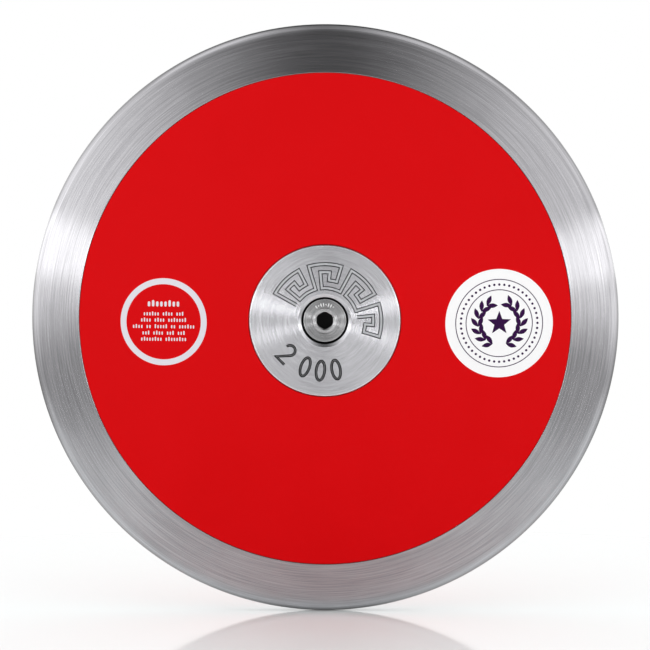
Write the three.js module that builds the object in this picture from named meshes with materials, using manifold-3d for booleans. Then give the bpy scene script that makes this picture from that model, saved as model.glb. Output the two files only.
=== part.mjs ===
import * as THREE from "three";
import { mergeVertices } from "three/addons/utils/BufferGeometryUtils.js";
import Module from "manifold-3d";

// A take-down competition discus of the 2 kg class. One bolt and one sleeve nut draw two metal centre
// plates on to a core tube, and the centre plates press two moulded side plates on to a steel rim.
// Lengths are millimetres. The disc stands on its edge: Y is its axis, the front faces -Y, Z is up,
// and the origin is the centre of the disc.

// Whole discus
const outerRadius = 110;
const centreHalfThickness = 22.5;
const edgeRadius = 6.25;
const seamGap = 0.15;

// Rim
const rimFaceWidth = 18.3;
const rimWebDepth = 7;
const rimWebHalfThickness = 5;
const rimBoreBevel = 0.6;

// Side plates
const plateWall = 3.2;
const plateFloor = 3.5;
const plateEdgeBevel = 0.25;
const spigotWall = 2.5;
const spigotLength = 3.3;
const cupWall = 2.2;
const cupOverlap = 0.5;
const cupClearance = 1;
const hoopRadius = 54;
const ribThickness = 2;
const ribArch = 3.6;
const joinDepth = 0.8;
const ribCount = 12;
const ribArchSteps = 4;

// Seals between the side plates and the rim
const sealThickness = 0.8;
const sealInset = 0.7;

// Centre plates
const centrePlateRadius = 28;
const centrePlateThickness = 6;
const centrePlateBevel = 0.35;
const hubSpigotRadius = 14;
const hubSpigotBevel = 0.5;
const headRecess = 2.4;
const headGap = 0.45;
const headBoreBevelWidth = 1.1;
const headBoreBevelDepth = 0.45;

// Bolt and sleeve nut
const headRadius = 8.25;
const headHeight = 4.1;
const headBevel = 0.4;
const headDome = 0.3;
const headFlatRadius = 5.3;
const domeSteps = 3;
const socketAcrossFlats = 6;
const socketDepth = 5;
const socketTip = 0.9;
const socketBevel = 0.3;
const shoulderRadius = 6;
const shoulderOverrun = 2;
const shoulderClearance = 0.2;
const threadRadius = 4;
const threadLength = 18;
const threadClearance = 0.15;
const threadBevel = 0.8;
const takeUpGap = 2;
const tipGap = 3;
const cutOverrun = 1;

// Lock washers
const lockWasherThickness = 1;
const lockWasherInset = 0.2;
const lockWasherSlit = 0.8;
const lockWasherClearance = 0.3;

// Core tube, trim weights and cushions
const tubeWall = 1.7;
const tubeClearance = 0.3;
const weightRadius = 21;
const weightThickness = 2;
const weightClearance = 0.3;
const weightCount = 6;

// Fineness of the round shapes
const rimSegments = 60;
const plateSegments = 40;
const boltSegments = 32;
const coreSegments = 24;
const edgeSteps = 8;

const steel = { color: 0xb4b5b8, roughness: 0.32, metalness: 1 };
const aluminium = { color: 0xc4c6c9, roughness: 0.3, metalness: 1 };
const redPlastic = { color: 0xd51016, roughness: 0.5, metalness: 0 };
const blackRubber = { color: 0x1c1c1d, roughness: 0.85, metalness: 0 };
const zincSteel = { color: 0x9ea2a6, roughness: 0.45, metalness: 1 };

const wasm = await Module();
wasm.setup();

// Each side runs in one straight line from the edge of the centre plate to where it touches the round
// edge of the rim. The line's fall is the bearing of the round's centre less the angle that a line
// touching the round makes with that bearing.
const edgeCentreRadius = outerRadius - edgeRadius;
const edgeReach = Math.hypot(edgeCentreRadius - centrePlateRadius, centreHalfThickness);
const edgeBearing = Math.atan2(centreHalfThickness, edgeCentreRadius - centrePlateRadius);
const taper = edgeBearing - Math.asin(edgeRadius / edgeReach);

// Heights are measured outwards from the middle plane of the disc.
const jointRadius = outerRadius - rimFaceWidth;
const rimBoreRadius = jointRadius - rimWebDepth;
const plateRadius = jointRadius - seamGap;
const footHeight = rimWebHalfThickness + sealThickness;
const spigotRadius = rimBoreRadius - seamGap;
const spigotEnd = footHeight - spigotLength;
const recessRadius = centrePlateRadius + seamGap;
const recessFloor = centreHalfThickness - centrePlateThickness;
const coreEnd = recessFloor - plateFloor;
const cupRadius = weightRadius + cupClearance;

const headEdgeHeight = centreHalfThickness - headRecess;
const headTop = headEdgeHeight + headDome;
const headSeat = headEdgeHeight - headHeight;
const headBoreFloor = headSeat - lockWasherThickness;
const headBoreRadius = headRadius + headGap;
const shoulderEnd = coreEnd - shoulderOverrun;
const tubeBoreRadius = shoulderRadius + tubeClearance;
const tubeRadius = tubeBoreRadius + tubeWall;
const weightBoreRadius = tubeRadius + weightClearance;
const stackHalfHeight = (weightThickness * weightCount) / 2;
const cupEnd = stackHalfHeight - cupOverlap;

function faceHeight(radius) {
  return centreHalfThickness - (radius - centrePlateRadius) * Math.tan(taper);
}

function innerFaceHeight(radius) {
  return faceHeight(radius) - plateWall / Math.cos(taper);
}

// A closed outline of [radius, height] pairs, turned about the Y axis.
function revolve(outline, segments) {
  const points = outline.map(([radius, height]) => new THREE.Vector2(radius, height));
  if (THREE.ShapeUtils.area(points) < 0) points.reverse();
  points.push(points[0].clone());
  return new THREE.LatheGeometry(points, segments);
}

function ringOutline(innerRadius, ringRadius, low, high) {
  return [
    [innerRadius, low],
    [ringRadius, low],
    [ringRadius, high],
    [innerRadius, high],
  ];
}

function toSolid(geometry) {
  const bare = geometry.clone();
  bare.deleteAttribute("normal");
  bare.deleteAttribute("uv");
  const merged = mergeVertices(bare);
  return new wasm.Manifold(
    new wasm.Mesh({
      numProp: 3,
      vertProperties: merged.attributes.position.array,
      triVerts: new Uint32Array(merged.index.array),
    }),
  );
}

function toGeometry(solid) {
  const mesh = solid.getMesh();
  const geometry = new THREE.BufferGeometry();
  geometry.setAttribute("position", new THREE.BufferAttribute(mesh.vertProperties, mesh.numProp));
  geometry.setIndex(new THREE.BufferAttribute(mesh.triVerts, 1));
  geometry.computeVertexNormals();
  return geometry;
}

function piece(name, geometry, finish) {
  const mesh = new THREE.Mesh(geometry, new THREE.MeshStandardMaterial(finish));
  mesh.name = name;
  return mesh;
}

// The rim is one turned ring: two tapering faces, a round edge, and a web that steps in below the side
// plates to carry them.
function rimGeometry() {
  const edge = [];
  const edgeStart = Math.PI / 2 - taper;
  for (let step = 0; step <= edgeSteps; step += 1) {
    const angle = edgeStart - (2 * edgeStart * step) / edgeSteps;
    edge.push([
      edgeCentreRadius + edgeRadius * Math.cos(angle),
      edgeRadius * Math.sin(angle),
    ]);
  }
  const outline = [
    [rimBoreRadius, -rimWebHalfThickness + rimBoreBevel],
    [rimBoreRadius, rimWebHalfThickness - rimBoreBevel],
    [rimBoreRadius + rimBoreBevel, rimWebHalfThickness],
    [jointRadius, rimWebHalfThickness],
    [jointRadius, faceHeight(jointRadius)],
    ...edge,
    [jointRadius, -faceHeight(jointRadius)],
    [jointRadius, -rimWebHalfThickness],
    [rimBoreRadius + rimBoreBevel, -rimWebHalfThickness],
  ];
  return revolve(outline, rimSegments);
}

// The skin of a side plate: a tapering shell with a flat foot and a locating spigot at the rim, and a
// recess with a floor for the centre plate.
function plateShell() {
  const wallRadius = recessRadius + plateWall;
  const spigotInnerRadius = spigotRadius - spigotWall;
  const bevelRadius = plateRadius - plateEdgeBevel;
  const outline = [
    [plateRadius, footHeight],
    [plateRadius, faceHeight(bevelRadius) - plateEdgeBevel],
    [bevelRadius, faceHeight(bevelRadius)],
    [recessRadius, faceHeight(recessRadius)],
    [recessRadius, recessFloor],
    [hubSpigotRadius + seamGap, recessFloor],
    [hubSpigotRadius + seamGap, coreEnd],
    [wallRadius, coreEnd],
    [wallRadius, innerFaceHeight(wallRadius)],
    [spigotInnerRadius, innerFaceHeight(spigotInnerRadius)],
    [spigotInnerRadius, spigotEnd],
    [spigotRadius, spigotEnd],
    [spigotRadius, footHeight],
  ];
  return toSolid(revolve(outline, rimSegments));
}

// Height of the free edge of the ribs: an arch between the mouth of the cup and the rim's spigot.
function ribEdgeHeight(radius) {
  const start = cupRadius + cupWall;
  const end = spigotRadius - spigotWall;
  const share = THREE.MathUtils.clamp((radius - start) / (end - start), 0, 1);
  const chord = cupEnd + share * (footHeight - cupEnd);
  return chord + 4 * ribArch * share * (1 - share);
}

function ribSolid() {
  const start = cupRadius + cupWall / 2;
  const end = spigotRadius - spigotWall / 2;
  const outline = new THREE.Shape();
  outline.moveTo(start, coreEnd + joinDepth);
  for (let step = 0; step <= ribArchSteps; step += 1) {
    const radius = start + ((end - start) * step) / ribArchSteps;
    outline.lineTo(radius, ribEdgeHeight(radius));
  }
  outline.lineTo(end, innerFaceHeight(end) + joinDepth);
  outline.lineTo(recessRadius + plateWall, innerFaceHeight(recessRadius + plateWall) + joinDepth);
  outline.lineTo(recessRadius + plateWall - joinDepth, coreEnd + joinDepth);
  const board = new THREE.ExtrudeGeometry(outline, { depth: ribThickness, bevelEnabled: false });
  board.translate(0, 0, -ribThickness / 2);
  return toSolid(board);
}

// A moulded side plate. Inside it has radial ribs, one hoop, and a cup that reaches over the cushion
// to the first of the trim weights.
function sidePlateGeometry() {
  const halfHoop = ribThickness / 2;
  const cup = ringOutline(cupRadius, cupRadius + cupWall, cupEnd, coreEnd + joinDepth);
  const hoop = ringOutline(
    hoopRadius - halfHoop,
    hoopRadius + halfHoop,
    ribEdgeHeight(hoopRadius),
    innerFaceHeight(hoopRadius) + joinDepth,
  );
  let solid = plateShell();
  solid = solid.add(toSolid(revolve(cup, rimSegments)));
  solid = solid.add(toSolid(revolve(hoop, rimSegments)));
  const rib = ribSolid();
  for (let index = 0; index < ribCount; index += 1) {
    solid = solid.add(rib.rotate([0, (360 * index) / ribCount, 0]));
  }
  return toGeometry(solid);
}

// A flat rubber ring on the rim's web, under the foot of a side plate.
function sealGeometry() {
  const outline = ringOutline(
    rimBoreRadius + sealInset,
    jointRadius - sealInset,
    rimWebHalfThickness,
    footHeight,
  );
  return revolve(outline, rimSegments);
}

// A flush centre plate, with a spigot through the floor of the side plate and a bore for a bolt head.
function centrePlateGeometry() {
  const holeRadius = shoulderRadius + shoulderClearance;
  const outline = [
    [holeRadius, coreEnd],
    [hubSpigotRadius - hubSpigotBevel, coreEnd],
    [hubSpigotRadius, coreEnd + hubSpigotBevel],
    [hubSpigotRadius, recessFloor],
    [centrePlateRadius, recessFloor],
    [centrePlateRadius, centreHalfThickness - centrePlateBevel],
    [centrePlateRadius - centrePlateBevel, centreHalfThickness],
    [headBoreRadius + headBoreBevelWidth, centreHalfThickness],
    [headBoreRadius, centreHalfThickness - headBoreBevelDepth],
    [headBoreRadius, headBoreFloor],
    [holeRadius, headBoreFloor],
  ];
  return revolve(outline, plateSegments);
}

// The face of a bolt head, from its bevelled edge over a low dome to the flat round the socket.
function headFace() {
  const start = headRadius - headBevel;
  const face = [[headRadius, headEdgeHeight - headBevel]];
  for (let step = 0; step <= domeSteps; step += 1) {
    const share = step / domeSteps;
    face.push([
      start + (headFlatRadius - start) * share,
      headEdgeHeight + headDome * Math.sin((Math.PI / 2) * share),
    ]);
  }
  return face;
}

// The hexagon socket of both heads, with a drilled tip below it and a 45 degree countersink at its mouth.
function socketSolid() {
  const cornerRadius = socketAcrossFlats / Math.sqrt(3);
  const flatRadius = socketAcrossFlats / 2;
  const mouth = headTop + cutOverrun;
  const socketFloor = headTop - socketDepth;
  const prism = new THREE.CylinderGeometry(cornerRadius, cornerRadius, mouth - socketFloor, 6);
  prism.translate(0, (mouth + socketFloor) / 2, 0);
  const tip = revolve(
    [
      [0, socketFloor - socketTip],
      [flatRadius, socketFloor],
      [flatRadius, socketFloor + socketTip],
      [0, socketFloor + socketTip],
    ],
    boltSegments,
  );
  const sinkDepth = cornerRadius + socketBevel - flatRadius;
  const countersink = revolve(
    [
      [0, headTop - sinkDepth],
      [flatRadius, headTop - sinkDepth],
      [cornerRadius + socketBevel + cutOverrun, headTop + cutOverrun],
      [0, headTop + cutOverrun],
    ],
    boltSegments,
  );
  return toSolid(prism).add(toSolid(tip)).add(toSolid(countersink));
}

// The bolt: a domed head, a shoulder that fills the centre plate's hole, and the threaded shank.
function boltGeometry() {
  const tip = shoulderEnd - threadLength;
  const outline = [
    [0, tip],
    [threadRadius - threadBevel, tip],
    [threadRadius, tip + threadBevel],
    [threadRadius, shoulderEnd],
    [shoulderRadius, shoulderEnd],
    [shoulderRadius, headSeat],
    [headRadius, headSeat],
    ...headFace(),
    [0, headTop],
  ];
  return toGeometry(toSolid(revolve(outline, boltSegments)).subtract(socketSolid()));
}

// The sleeve nut has the same head, and a barrel that reaches through the tube to take the shank.
function sleeveNutGeometry() {
  const barrelEnd = takeUpGap - shoulderEnd;
  const boreRadius = threadRadius + threadClearance;
  const boreFloor = threadLength - shoulderEnd + tipGap;
  const outline = [
    [boreRadius + threadBevel, barrelEnd],
    [shoulderRadius, barrelEnd],
    [shoulderRadius, headSeat],
    [headRadius, headSeat],
    ...headFace(),
    [0, headTop],
    [0, boreFloor],
    [boreRadius, boreFloor],
    [boreRadius, barrelEnd + threadBevel],
  ];
  return toGeometry(toSolid(revolve(outline, boltSegments)).subtract(socketSolid()));
}

// A split lock washer under each head.
function lockWasherGeometry() {
  const washerRadius = headRadius - lockWasherInset;
  const boreRadius = shoulderRadius + lockWasherClearance;
  const ring = ringOutline(boreRadius, washerRadius, headBoreFloor, headSeat);
  const slitLength = washerRadius - boreRadius + 2 * cutOverrun;
  const slit = new THREE.BoxGeometry(
    slitLength,
    lockWasherThickness + 2 * cutOverrun,
    lockWasherSlit,
  );
  slit.translate((washerRadius + boreRadius) / 2, (headBoreFloor + headSeat) / 2, 0);
  return toGeometry(toSolid(revolve(ring, coreSegments)).subtract(toSolid(slit)));
}

// The tube that the centre plates are drawn on to. It sets the thickness of the disc.
function coreTubeGeometry() {
  return revolve(ringOutline(tubeBoreRadius, tubeRadius, -coreEnd, coreEnd), coreSegments);
}

// One steel disc of the stack that brings the discus to its weight.
function trimWeightGeometry() {
  const half = weightThickness / 2;
  return revolve(ringOutline(weightBoreRadius, weightRadius, -half, half), coreSegments);
}

// A rubber ring between the stack of weights and the floor of a side plate.
function cushionGeometry() {
  const outline = ringOutline(weightBoreRadius, weightRadius, stackHalfHeight, coreEnd);
  return revolve(outline, coreSegments);
}

// The pieces that come in pairs, one for each side. They are built on the +Y side.
function sideAssembly(side) {
  const group = new THREE.Group();
  group.add(
    piece(`${side}_side_plate`, sidePlateGeometry(), redPlastic),
    piece(`${side}_centre_plate`, centrePlateGeometry(), aluminium),
    piece(`${side}_rim_seal`, sealGeometry(), blackRubber),
    piece(`${side}_lock_washer`, lockWasherGeometry(), zincSteel),
    piece(`${side}_cushion`, cushionGeometry(), blackRubber),
  );
  return group;
}

function trimWeights() {
  const group = new THREE.Group();
  for (let index = 0; index < weightCount; index += 1) {
    const weight = piece(`trim_weight_${index + 1}`, trimWeightGeometry(), zincSteel);
    weight.position.y = (index + 1 / 2) * weightThickness - stackHalfHeight;
    group.add(weight);
  }
  return group;
}

const rear = sideAssembly("rear");
rear.add(piece("sleeve_nut", sleeveNutGeometry(), steel));

// The front pieces are the same, turned half round to face -Y.
const front = sideAssembly("front");
front.add(piece("centre_bolt", boltGeometry(), steel));
front.rotation.z = Math.PI;

const discus = new THREE.Group();
discus.add(piece("rim", rimGeometry(), steel));
discus.add(piece("core_tube", coreTubeGeometry(), zincSteel));
discus.add(trimWeights(), front, rear);

export default discus;
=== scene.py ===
# %% [markdown]
# # A competition discus
# A discus of this kind comes apart like a small wheel. A heavy steel rim holds two moulded side plates,
# and one bolt through the middle draws two round centre plates on to them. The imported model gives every
# piece its exact size and place, so this lesson only makes the fine surfaces and the finishes.
# All lengths are metres. Y is the disc's axis, the front looks along -Y, and Z is up.

# %% Load the frame
import math

import bmesh
import bpy
import numpy as np
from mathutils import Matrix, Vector


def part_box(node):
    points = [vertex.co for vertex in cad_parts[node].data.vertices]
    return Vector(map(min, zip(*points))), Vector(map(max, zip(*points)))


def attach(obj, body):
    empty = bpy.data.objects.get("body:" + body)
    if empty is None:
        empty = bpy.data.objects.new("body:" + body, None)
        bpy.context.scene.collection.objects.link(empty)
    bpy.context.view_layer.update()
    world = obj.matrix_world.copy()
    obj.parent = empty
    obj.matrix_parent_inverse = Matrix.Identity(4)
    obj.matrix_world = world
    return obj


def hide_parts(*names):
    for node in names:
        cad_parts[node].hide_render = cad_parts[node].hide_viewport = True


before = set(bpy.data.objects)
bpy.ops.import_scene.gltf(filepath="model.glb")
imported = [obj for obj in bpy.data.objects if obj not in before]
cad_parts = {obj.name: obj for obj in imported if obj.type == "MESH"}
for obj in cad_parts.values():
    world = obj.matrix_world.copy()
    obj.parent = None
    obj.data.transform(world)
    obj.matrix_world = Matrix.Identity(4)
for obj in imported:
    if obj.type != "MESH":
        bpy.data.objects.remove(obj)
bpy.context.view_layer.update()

print("pieces in the frame:", len(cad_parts))

# %% [markdown]
# ## Sizes
# Nearly every size is read from the frame, because a surface that is a tenth of a millimetre off its
# neighbour shows as a dark line. A height is a distance from the disc's middle plane, outwards on either
# side, so the front and the rear share one set of outlines. Only sizes that no box of the frame shows,
# such as a bore, a wall or the small roundings that a lathe or a mould leaves, are given.

# %% Sizes
MM = 0.001
FRONT, REAR = -1, 1
X, Y = 0, 1


def reach(node, axis):
    """How far a node reaches from the origin along one axis."""
    low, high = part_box(node)
    return max(abs(low[axis]), abs(high[axis]))


SEAM = 0.15 * MM
OUTER_RADIUS = reach("rim", X)
JOINT_RADIUS = reach("front_side_plate", X) + SEAM
JOINT_HEIGHT = reach("rim", Y)
CENTRE_RADIUS = reach("front_centre_plate", X)
FACE_HEIGHT = reach("front_centre_plate", Y)
FALL = (FACE_HEIGHT - JOINT_HEIGHT) / (JOINT_RADIUS - CENTRE_RADIUS)
TAPER = math.atan(FALL)


def face_height(radius):
    """The side face falls in one straight line from the centre plate to the round edge."""
    return FACE_HEIGHT - (radius - CENTRE_RADIUS) * FALL


print("taper in degrees:", round(math.degrees(TAPER), 2))

# %% [markdown]
# ## Rounded corners
# Almost everything here was turned or moulded in the round, so one idea makes most of the pieces: a
# closed outline of radius and height, carried once round the axis. Real corners are never quite sharp.
# A Bevel modifier could round them afterwards, but an arc in the outline needs only a few points, keeps
# its exact radius, and catches the light just as well.

# %% Rounded corners
NEARLY_STRAIGHT = math.pi * 0.98


def rounded(corners, radius, steps=4):
    """A closed outline whose corners are arcs.

    An arc starts radius over the tangent of half the corner's inside angle before its corner and ends
    as far after it. Its points are weighted sums of its two ends, seen from its centre, and each weight
    is the sine of its share of the turn over the sine of the whole turn.
    """
    corners = np.asarray(corners, float)
    radii = np.broadcast_to(radius, len(corners))
    points = []
    for index, corner in enumerate(corners):
        back = corners[index - 1] - corner
        ahead = corners[(index + 1) % len(corners)] - corner
        back, ahead = back / np.linalg.norm(back), ahead / np.linalg.norm(ahead)
        inside = math.acos(np.clip(back @ ahead, -1, 1))
        if radii[index] == 0 or inside > NEARLY_STRAIGHT:
            points.append(corner)
            continue
        bisector = (back + ahead) / np.linalg.norm(back + ahead)
        centre = corner + bisector * radii[index] / math.sin(inside / 2)
        first = corner + back * radii[index] / math.tan(inside / 2) - centre
        last = corner + ahead * radii[index] / math.tan(inside / 2) - centre
        turn = math.pi - inside
        share = np.linspace(0, 1, steps + 1)[:, None]
        arc = (first * np.sin((1 - share) * turn) + last * np.sin(share * turn)) / math.sin(turn)
        points.extend(centre + arc)
    return np.array(points)


UNIT_SQUARE = [(0, 0), (1, 0), (1, 1), (0, 1)]
print("points round a square with round corners:", len(rounded(UNIT_SQUARE, 0.1)))

# %% [markdown]
# ## Points that keep a face flat
# Smooth shading blends the light from point to point. On a long straight face that starts at a small
# arc, the blend would run right across the face and make it look hollow. A point close to each end of
# the stretch keeps the blend inside a tenth of a millimetre, much as a holding loop does in modelling
# by hand.

# %% Points near the ends
SUPPORT_MARGIN = 0.12 * MM
LONG_STRETCH = 4 * SUPPORT_MARGIN


def supported(points):
    """The outline with a point near each end of every long straight stretch."""
    result = []
    for start, end in zip(points, np.roll(points, -1, axis=0)):
        length = np.linalg.norm(end - start)
        result.append(start)
        if length > LONG_STRETCH:
            step = (end - start) / length * SUPPORT_MARGIN
            result += [start + step, end - step]
    return np.array(result)


print("with points near the ends:", len(supported(rounded(UNIT_SQUARE, 0.1))))

# %% [markdown]
# ## Once round the axis
# The Spin tool or a Screw modifier would carry the outline round as well. Here sine and cosine do it for
# all the points at once, and the same few lines serve the front and the rear: only the side's sign
# changes.

# %% Turning an outline
ROUND_SEGMENTS = 288


def turned(outline, side, segments=ROUND_SEGMENTS):
    """An outline carried round the Y axis.

    A point at turn t lies at x = radius sin t, y = side times height, z = radius cos t.
    """
    radius, height = np.asarray(outline, float).T[:, :, None]
    turn = np.linspace(0, 2 * math.pi, segments, endpoint=False)
    y = np.broadcast_to(side * height, (len(radius), segments))
    return np.stack([radius * np.sin(turn), y, radius * np.cos(turn)], axis=-1)


print("grid of a turned square:", turned(UNIT_SQUARE, FRONT).shape)

# %% [markdown]
# ## From grids to meshes
# Each surface is a grid of points that closes on itself both ways, like a torus. Where a row of the grid
# shrinks to one point, as on an axis or at the end of a stroke, the doubles are merged and the grid
# becomes a pole. Normals are turned outwards last, because the side of the disc decides which way a
# grid winds.

# %% From grids to meshes
MERGE_DISTANCE = 0.0005 * MM
SHARP_ANGLE = math.radians(30)


def closed_grid(rows, columns):
    """The four-cornered faces of a grid that wraps round in both directions."""
    row, column = np.meshgrid(np.arange(rows), np.arange(columns), indexing="ij")
    next_row, next_column = (row + 1) % rows, (column + 1) % columns
    corners = [(row, column), (row, next_column), (next_row, next_column), (next_row, column)]
    return np.stack([r * columns + c for r, c in corners], axis=-1).reshape(-1, 4)


def smooth(mesh):
    """Smooth shading, with edges that turn by more than the sharp angle kept crisp."""
    mesh.polygons.foreach_set("use_smooth", np.ones(len(mesh.polygons), bool))
    mesh.set_sharp_from_angle(angle=SHARP_ANGLE)


def make_mesh(name, surfaces, dark_rows=()):
    """One mesh of several closed grids, merged at their poles, with outward normals.

    The named rows of the first grid take the piece's second material.
    """
    points, faces, start = [], [], 0
    for surface in surfaces:
        rows, columns = surface.shape[:2]
        points.append(surface.reshape(-1, 3))
        faces.append(closed_grid(rows, columns) + start)
        start += rows * columns
    faces = np.concatenate(faces)
    row = np.arange(len(faces)) // surfaces[0].shape[1]
    mesh = bpy.data.meshes.new(name)
    mesh.from_pydata(np.concatenate(points).tolist(), [], faces.tolist())
    mesh.polygons.foreach_set("material_index", np.isin(row, dark_rows).astype(np.int32))
    form = bmesh.new()
    form.from_mesh(mesh)
    bmesh.ops.remove_doubles(form, verts=form.verts, dist=MERGE_DISTANCE)
    bmesh.ops.recalc_face_normals(form, faces=form.faces)
    form.to_mesh(mesh)
    form.free()
    smooth(mesh)
    return mesh


print("faces of a grid of 3 by 4 points:", len(closed_grid(3, 4)))

# %% [markdown]
# ## Pieces of the disc
# A mesh becomes a piece with three things: the body that it rides on, the material slot that it shows,
# and the nodes of the imported model that it takes the place of, which are hidden. A discus has one
# body, so every piece rides on the root.

# %% Pieces of the disc


def add_object(name, data):
    """A new object for a mesh, a lamp or a camera, placed in the scene."""
    thing = bpy.data.objects.new(name, data)
    bpy.context.scene.collection.objects.link(thing)
    return thing


def make_piece(name, surfaces, materials, stands_for=(), dark_rows=()):
    """A finished piece that rides on the disc, and stands for the named nodes of the frame."""
    piece = add_object(name, make_mesh(name, surfaces, dark_rows))
    for material in materials:
        piece.data.materials.append(material)
    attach(piece, "root")
    if stands_for:
        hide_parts(*stands_for)
    print(name, "faces:", len(piece.data.polygons))
    return piece


# %% [markdown]
# ## Building materials
# A material is a small program of nodes. A few helpers keep each one readable. One adds a node with its
# settings and inputs, two more do the same for sums on numbers and on vectors, and one opens a node
# group with named sockets, so that an effect such as circular grain is built once and used by every
# metal.

# %% Node helpers
ACROSS_THE_AXIS = (1, 0, 1)
ACROSS_THE_FLOOR = (1, 1, 0)


def add_node(tree, kind, inputs=None, **settings):
    """Adds one node. Each input is a value, or the output of another node."""
    made = tree.nodes.new(kind)
    for key, value in settings.items():
        setattr(made, key, value)
    for key, value in (inputs or {}).items():
        if isinstance(value, bpy.types.NodeSocket):
            tree.links.new(value, made.inputs[key])
        else:
            made.inputs[key].default_value = value
    return made


def math_node(tree, operation, *values):
    """The output of one Math node on the given values."""
    return add_node(tree, "ShaderNodeMath", dict(enumerate(values)), operation=operation).outputs[0]


def vector_node(tree, operation, *values):
    """The outputs, Vector and Value, of one Vector Math node on the given values."""
    inputs = dict(enumerate(values))
    return add_node(tree, "ShaderNodeVectorMath", inputs, operation=operation).outputs


def parted(tree, vector):
    """The X, Y and Z of a vector."""
    return add_node(tree, "ShaderNodeSeparateXYZ", {0: vector}).outputs


def flattened(tree, position, kept):
    """The position with one axis set to zero, and how long that makes it."""
    flat = vector_node(tree, "MULTIPLY", position, kept)["Vector"]
    return flat, vector_node(tree, "LENGTH", flat)["Value"]


def scaled(tree, value, low, high):
    """A mask from 0 to 1 stretched to run from low to high."""
    return add_node(
        tree, "ShaderNodeMapRange", {"Value": value, "To Min": low, "To Max": high}
    ).outputs["Result"]


def ramp(tree, value, low, high, start, end):
    """Runs smoothly from start to end while the value goes from low to high."""
    return add_node(
        tree,
        "ShaderNodeMapRange",
        {"Value": value, "From Min": low, "From Max": high, "To Min": start, "To Max": end},
        interpolation_type="SMOOTHSTEP",
    ).outputs["Result"]


def open_group(name, inputs, output):
    """A node group with number or vector inputs and one number output."""
    tree = bpy.data.node_groups.new(name, "ShaderNodeTree")
    for label, kind in inputs.items():
        tree.interface.new_socket(label, in_out="INPUT", socket_type=f"NodeSocket{kind}")
    tree.interface.new_socket(output, in_out="OUTPUT", socket_type="NodeSocketFloat")
    start = tree.nodes.new("NodeGroupInput").outputs
    end = tree.nodes.new("NodeGroupOutput").inputs
    return tree, start, end


def use_group(tree, group, inputs):
    """The output of a node group placed in a material with the material's own values."""
    return add_node(tree, "ShaderNodeGroup", inputs, node_tree=group).outputs[0]


# %% [markdown]
# ## Circular grain
# A turned or spun-brushed face is covered in fine rings round its axis. An image of scratches could be
# wrapped round, but it would blur close up. Noise that changes fast with the radius and with the height,
# and slowly with the direction, gives such rings at any distance. The direction goes in as its sine and
# cosine, so there is no seam where the circle closes. With radius and height that makes four numbers,
# which is why the noise is four-dimensional.

# %% Circular grain
GRAIN_DETAIL = 5
GRAIN_ROUGHNESS = 0.62


def make_circular_grain():
    tree, start, end = open_group(
        "circular_grain", {"Position": "Vector", "Lines": "Float", "Wander": "Float"}, "Value"
    )
    flat, radius = flattened(tree, start["Position"], ACROSS_THE_AXIS)
    way = parted(tree, vector_node(tree, "NORMALIZE", flat)["Vector"])
    height = parted(tree, start["Position"])["Y"]
    place = add_node(
        tree,
        "ShaderNodeCombineXYZ",
        {
            0: math_node(tree, "MULTIPLY", radius, start["Lines"]),
            1: math_node(tree, "MULTIPLY", height, start["Lines"]),
            2: math_node(tree, "MULTIPLY", way["X"], start["Wander"]),
        },
    ).outputs[0]
    noise = add_node(
        tree,
        "ShaderNodeTexNoise",
        {
            "Vector": place,
            "W": math_node(tree, "MULTIPLY", way["Z"], start["Wander"]),
            "Scale": 1,
            "Detail": GRAIN_DETAIL,
            "Roughness": GRAIN_ROUGHNESS,
        },
        noise_dimensions="4D",
    ).outputs["Fac"]
    tree.links.new(noise, end["Value"])
    return tree


CIRCULAR_GRAIN = make_circular_grain()
print("nodes in the grain:", len(CIRCULAR_GRAIN.nodes))

# %% [markdown]
# ## Soft patches
# No real surface is even all over. A hand, a cloth or the mould leaves some places a little duller than
# others. Large soft noise stands for them, and every finish below uses it for its tone and its
# roughness.

# %% Soft patches
PATCH_DETAIL = 3
PATCH_DISTORTION = 0.6


def make_soft_patches():
    tree, start, end = open_group("soft_patches", {"Position": "Vector", "Scale": "Float"}, "Value")
    noise = add_node(
        tree,
        "ShaderNodeTexNoise",
        {
            "Vector": start["Position"],
            "Scale": start["Scale"],
            "Detail": PATCH_DETAIL,
            "Distortion": PATCH_DISTORTION,
        },
    ).outputs["Fac"]
    tree.links.new(noise, end["Value"])
    return tree


SOFT_PATCHES = make_soft_patches()
print("nodes in the patches:", len(SOFT_PATCHES.nodes))

# %% [markdown]
# ## Fine pits
# Moulded plastic, printed ink and rubber have a skin of tiny pits, which is what makes them satin and not
# glossy. Rounded cells give the pits and a little noise keeps them from looking stamped. The result is
# a height for a Bump node, because modelled pits of this size would need millions of faces.

# %% Fine pits
PIT_SOFTNESS = 0.8
PIT_SHARE = 0.5
PIT_NOISE_DETAIL = 2


def make_fine_pits():
    tree, start, end = open_group("fine_pits", {"Position": "Vector", "Scale": "Float"}, "Height")
    place = {"Vector": start["Position"], "Scale": start["Scale"]}
    cells = add_node(
        tree, "ShaderNodeTexVoronoi", {**place, "Smoothness": PIT_SOFTNESS}, feature="SMOOTH_F1"
    ).outputs["Distance"]
    noise = add_node(tree, "ShaderNodeTexNoise", {**place, "Detail": PIT_NOISE_DETAIL}).outputs["Fac"]
    tree.links.new(math_node(tree, "MULTIPLY_ADD", cells, PIT_SHARE, noise), end["Height"])
    return tree


FINE_PITS = make_fine_pits()
print("nodes in the pits:", len(FINE_PITS.nodes))

# %% [markdown]
# ## Painted bands of highlight and shade
# Along some circles, such as the outer edge, the edge of a plate and the mouth of a bore, the metal's
# tone is raised to paint a highlight or lowered to paint shade. This group marks one such circle with a
# soft band, and the metal below decides what the band does to its tone.

# %% Painted bands
BAND_CORE = 0.2


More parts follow.
